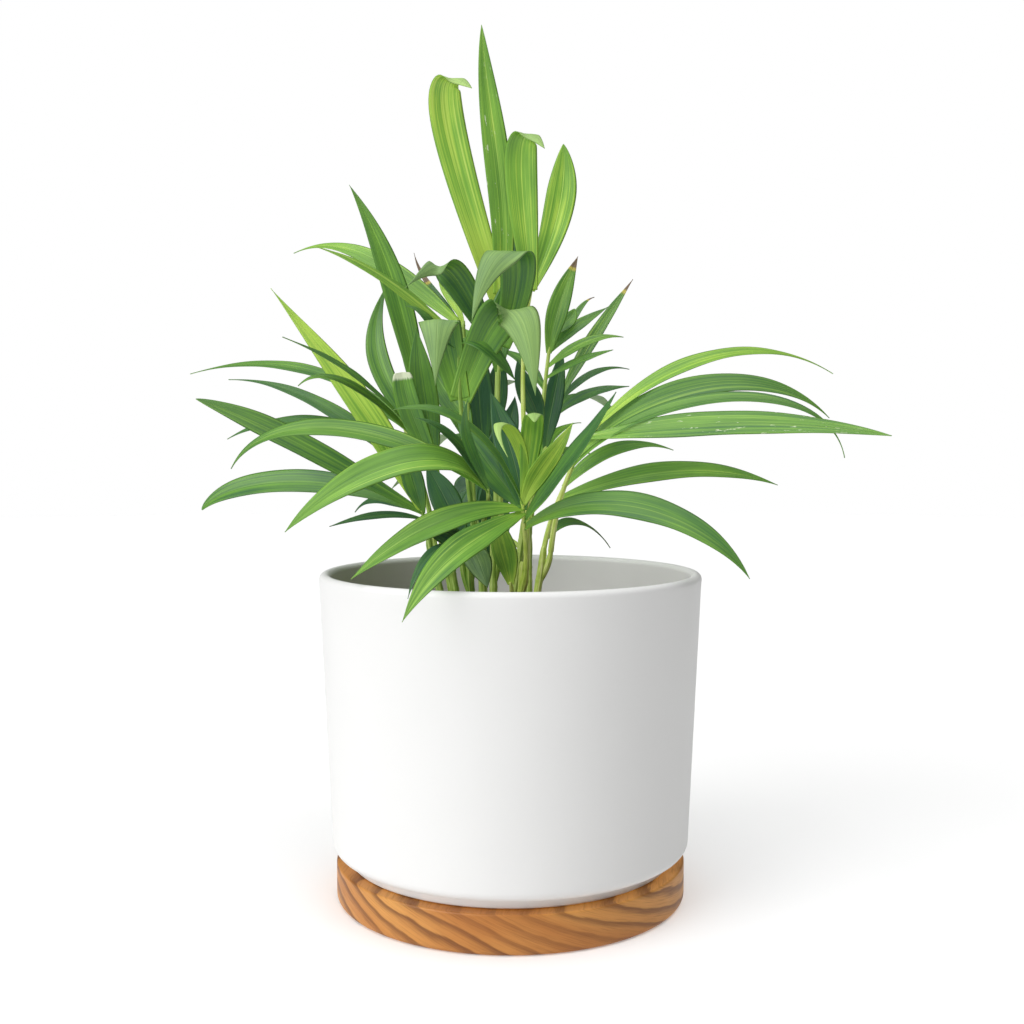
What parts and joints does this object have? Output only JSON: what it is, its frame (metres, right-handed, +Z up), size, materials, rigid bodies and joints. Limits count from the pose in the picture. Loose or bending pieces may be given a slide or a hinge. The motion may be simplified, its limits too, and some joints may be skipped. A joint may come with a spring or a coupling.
{
  "type": "potted areca palm",
  "caption": "Young areca palm with arching fronds of narrow leaflets, in a round matte ceramic pot on a turned wooden saucer.",
  "frame": {"origin": "centre of the saucer's flat underside, where the plant stands", "axes": "+Z up along the pot's axis, +X to the viewer's right and +Y away from the viewer in the picture"},
  "size_m": [0.3026, 0.2249, 0.3641],
  "materials": {
    "saucer_wood": "oiled turned wood with diagonal dark grain, satin",
    "pot_ceramic": "smooth matte white",
    "potting_soil": "dark crumbly, rough",
    "stem_green": "smooth yellow-green, satin",
    "frond_green": "fine parallel veins, satin"
  },
  "bodies": {
    "root": {"saucer": "saucer_wood", "pot": "pot_ceramic", "soil": "potting_soil", "stem_1": "stem_green", "stem_2": "stem_green", "stem_3": "stem_green", "stem_4": "stem_green", "stem_5": "stem_green", "stem_6": "stem_green", "stem_7": "stem_green", "stem_8": "stem_green", "stem_9": "stem_green", "stem_10": "stem_green", "stem_11": "stem_green", "frond_1": "frond_green", "frond_2": "frond_green", "frond_3": "frond_green", "frond_4": "frond_green", "frond_5": "frond_green", "frond_6": "frond_green", "frond_7": "frond_green", "frond_8": "frond_green", "frond_9": "frond_green", "frond_10": "frond_green", "frond_11": "frond_green", "frond_12": "frond_green", "frond_13": "frond_green", "frond_14": "frond_green", "frond_15": "frond_green", "frond_16": "frond_green", "frond_17": "frond_green", "frond_18": "frond_green", "frond_19": "frond_green", "frond_20": "frond_green", "frond_21": "frond_green", "frond_22": "frond_green"}
  },
  "joints": []
}
